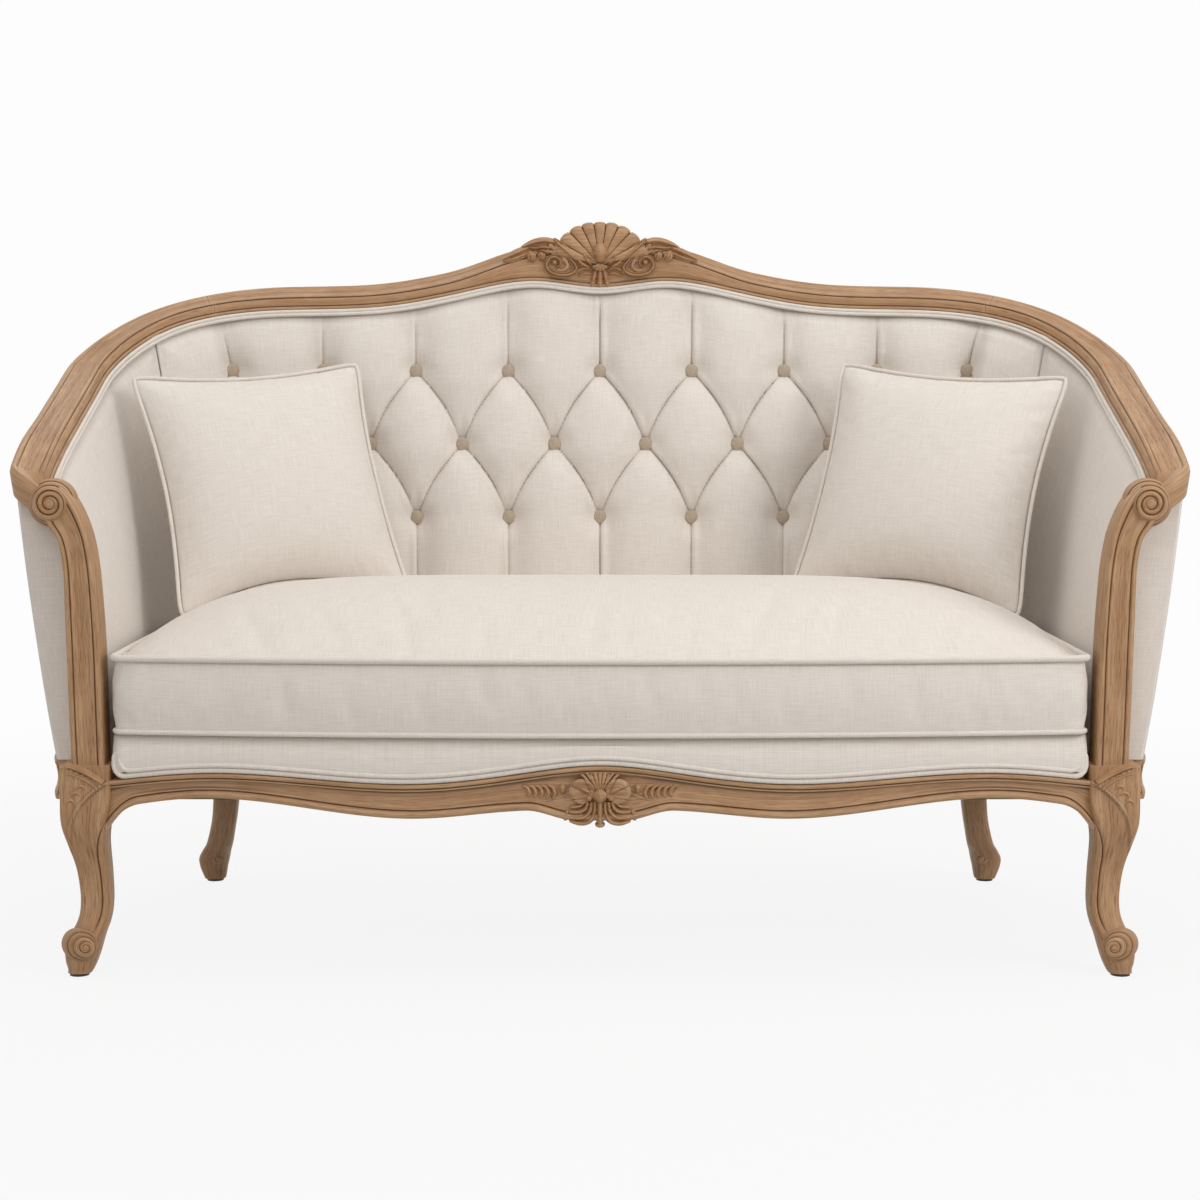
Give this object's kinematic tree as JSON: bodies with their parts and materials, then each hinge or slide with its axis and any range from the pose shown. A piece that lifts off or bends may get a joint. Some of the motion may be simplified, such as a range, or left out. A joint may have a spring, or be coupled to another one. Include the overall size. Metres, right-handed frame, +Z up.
{
  "type": "curved loveseat",
  "caption": "Show-wood loveseat with a curved, diamond-tufted back that sweeps into the arms, a carved crest and apron, a loose seat cushion and scatter pillows.",
  "frame": {"origin": "on the floor under the middle of the loveseat's bounding box", "axes": "+X towards a viewer's right, +Y towards the back, +Z up"},
  "size_m": [1.5512, 0.756, 1.033],
  "materials": {
    "show_wood": "washed oak with a brown glaze in the grooves, satin",
    "frame_wood": "planed, unfinished",
    "linen": "oatmeal linen weave",
    "welt_linen": "linen-covered cord",
    "tuft_button": "linen-covered button",
    "deck_cloth": "linen and cotton deck cloth",
    "dust_cloth": "non-woven",
    "glide": "black",
    "webbing": "jute and rubber webbing",
    "foam": "wrapped foam",
    "filling": "cotton-cased filling",
    "zip_tape": "woven tape with coil teeth"
  },
  "bodies": {
    "frame": {"crest_rail": "show_wood", "arm_rail_left": "show_wood", "arm_rail_right": "show_wood", "arm_post_left": "show_wood", "arm_post_right": "show_wood", "front_rail": "show_wood", "front_leg_left": "show_wood", "front_leg_right": "show_wood", "rear_leg_left": "show_wood", "rear_leg_right": "show_wood", "crest_shell": "show_wood", "apron_flower": "show_wood", "side_rail_left": "show_wood", "side_rail_right": "show_wood", "back_rail": "show_wood", "spring_rail": "frame_wood", "back_stile_left": "frame_wood", "back_stile_middle": "frame_wood", "back_stile_right": "frame_wood", "corner_blocks": "frame_wood", "frame_tenons": "frame_wood", "inside_back": "linen", "inside_arm_left": "linen", "inside_arm_right": "linen", "outside_back": "linen", "outside_arm_left": "linen", "outside_arm_right": "linen", "front_border": "linen", "back_welt": "welt_linen", "outside_welt": "welt_linen", "border_welt": "welt_linen", "tuft_buttons": "tuft_button", "seat_deck": "deck_cloth", "dust_cover": "dust_cloth", "foot_glides": "glide", "back_webbing": "webbing", "seat_webbing": "webbing"},
    "seat_cushion": {"seat_cushion_cover": "linen", "seat_cushion_core": "foam", "seat_cushion_piping": "welt_linen", "cushion_zip": "zip_tape"},
    "pillow_left": {"pillow_cover_left": "linen", "pillow_insert_left": "filling", "pillow_piping_left": "welt_linen"},
    "pillow_right": {"pillow_cover_right": "linen", "pillow_insert_right": "filling", "pillow_piping_right": "welt_linen"}
  },
  "joints": [
    {"name": "seat_cushion_lift", "type": "slide", "parent": "frame", "child": "seat_cushion", "axis": [0, 0, 1], "range_m": [0, 0.65]},
    {"name": "pillow_left_lift", "type": "slide", "parent": "seat_cushion", "child": "pillow_left", "axis": [0, 0, 1], "range_m": [0, 0.65]},
    {"name": "pillow_right_lift", "type": "slide", "parent": "seat_cushion", "child": "pillow_right", "axis": [0, 0, 1], "range_m": [0, 0.65]}
  ]
}
